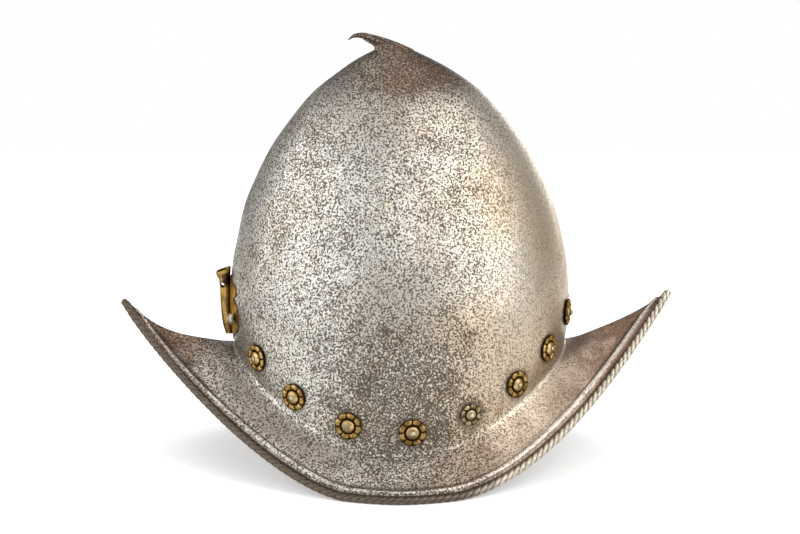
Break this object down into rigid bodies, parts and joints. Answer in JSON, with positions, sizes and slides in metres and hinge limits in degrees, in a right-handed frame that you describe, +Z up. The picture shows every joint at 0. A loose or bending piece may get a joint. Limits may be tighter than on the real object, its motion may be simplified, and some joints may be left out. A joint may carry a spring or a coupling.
{
  "type": "morion helmet",
  "caption": "Peaked steel helmet with a tall almond-shaped skull, hooked stalk, upswept brim with a turned edge, brass rosettes round its base and a brass plume holder behind.",
  "frame": {"origin": "midway between the brim's front and rear tips, in the middle plane, at the level of the brim's lowest edges", "axes": "+X to the front, +Y to the wearer's left, +Z up"},
  "size_m": [0.3478, 0.236, 0.2677],
  "materials": {
    "steel": "aged, pitted, patches of brown patina",
    "brass": "aged, dark in the recesses",
    "iron": "worn rivet heads"
  },
  "bodies": {
    "root": {"helmet_shell": "steel", "plume_holder": "brass", "plume_rivet_1": "iron", "plume_rivet_2": "iron", "rosette_01": "brass", "rosette_02": "brass", "rosette_03": "brass", "rosette_04": "brass", "rosette_05": "brass", "rosette_06": "brass", "rosette_07": "brass", "rosette_08": "brass", "rosette_09": "brass", "rosette_10": "brass", "rosette_11": "brass", "rosette_12": "brass", "rosette_13": "brass", "rosette_14": "brass", "rosette_15": "brass", "rosette_16": "brass", "rivet_01": "iron", "rivet_02": "iron", "rivet_03": "iron", "rivet_04": "iron", "rivet_05": "iron", "rivet_06": "iron", "rivet_07": "iron", "rivet_08": "iron", "rivet_09": "iron", "rivet_10": "iron", "rivet_11": "iron", "rivet_12": "iron", "rivet_13": "iron", "rivet_14": "iron", "rivet_15": "iron", "rivet_16": "iron"}
  },
  "joints": []
}
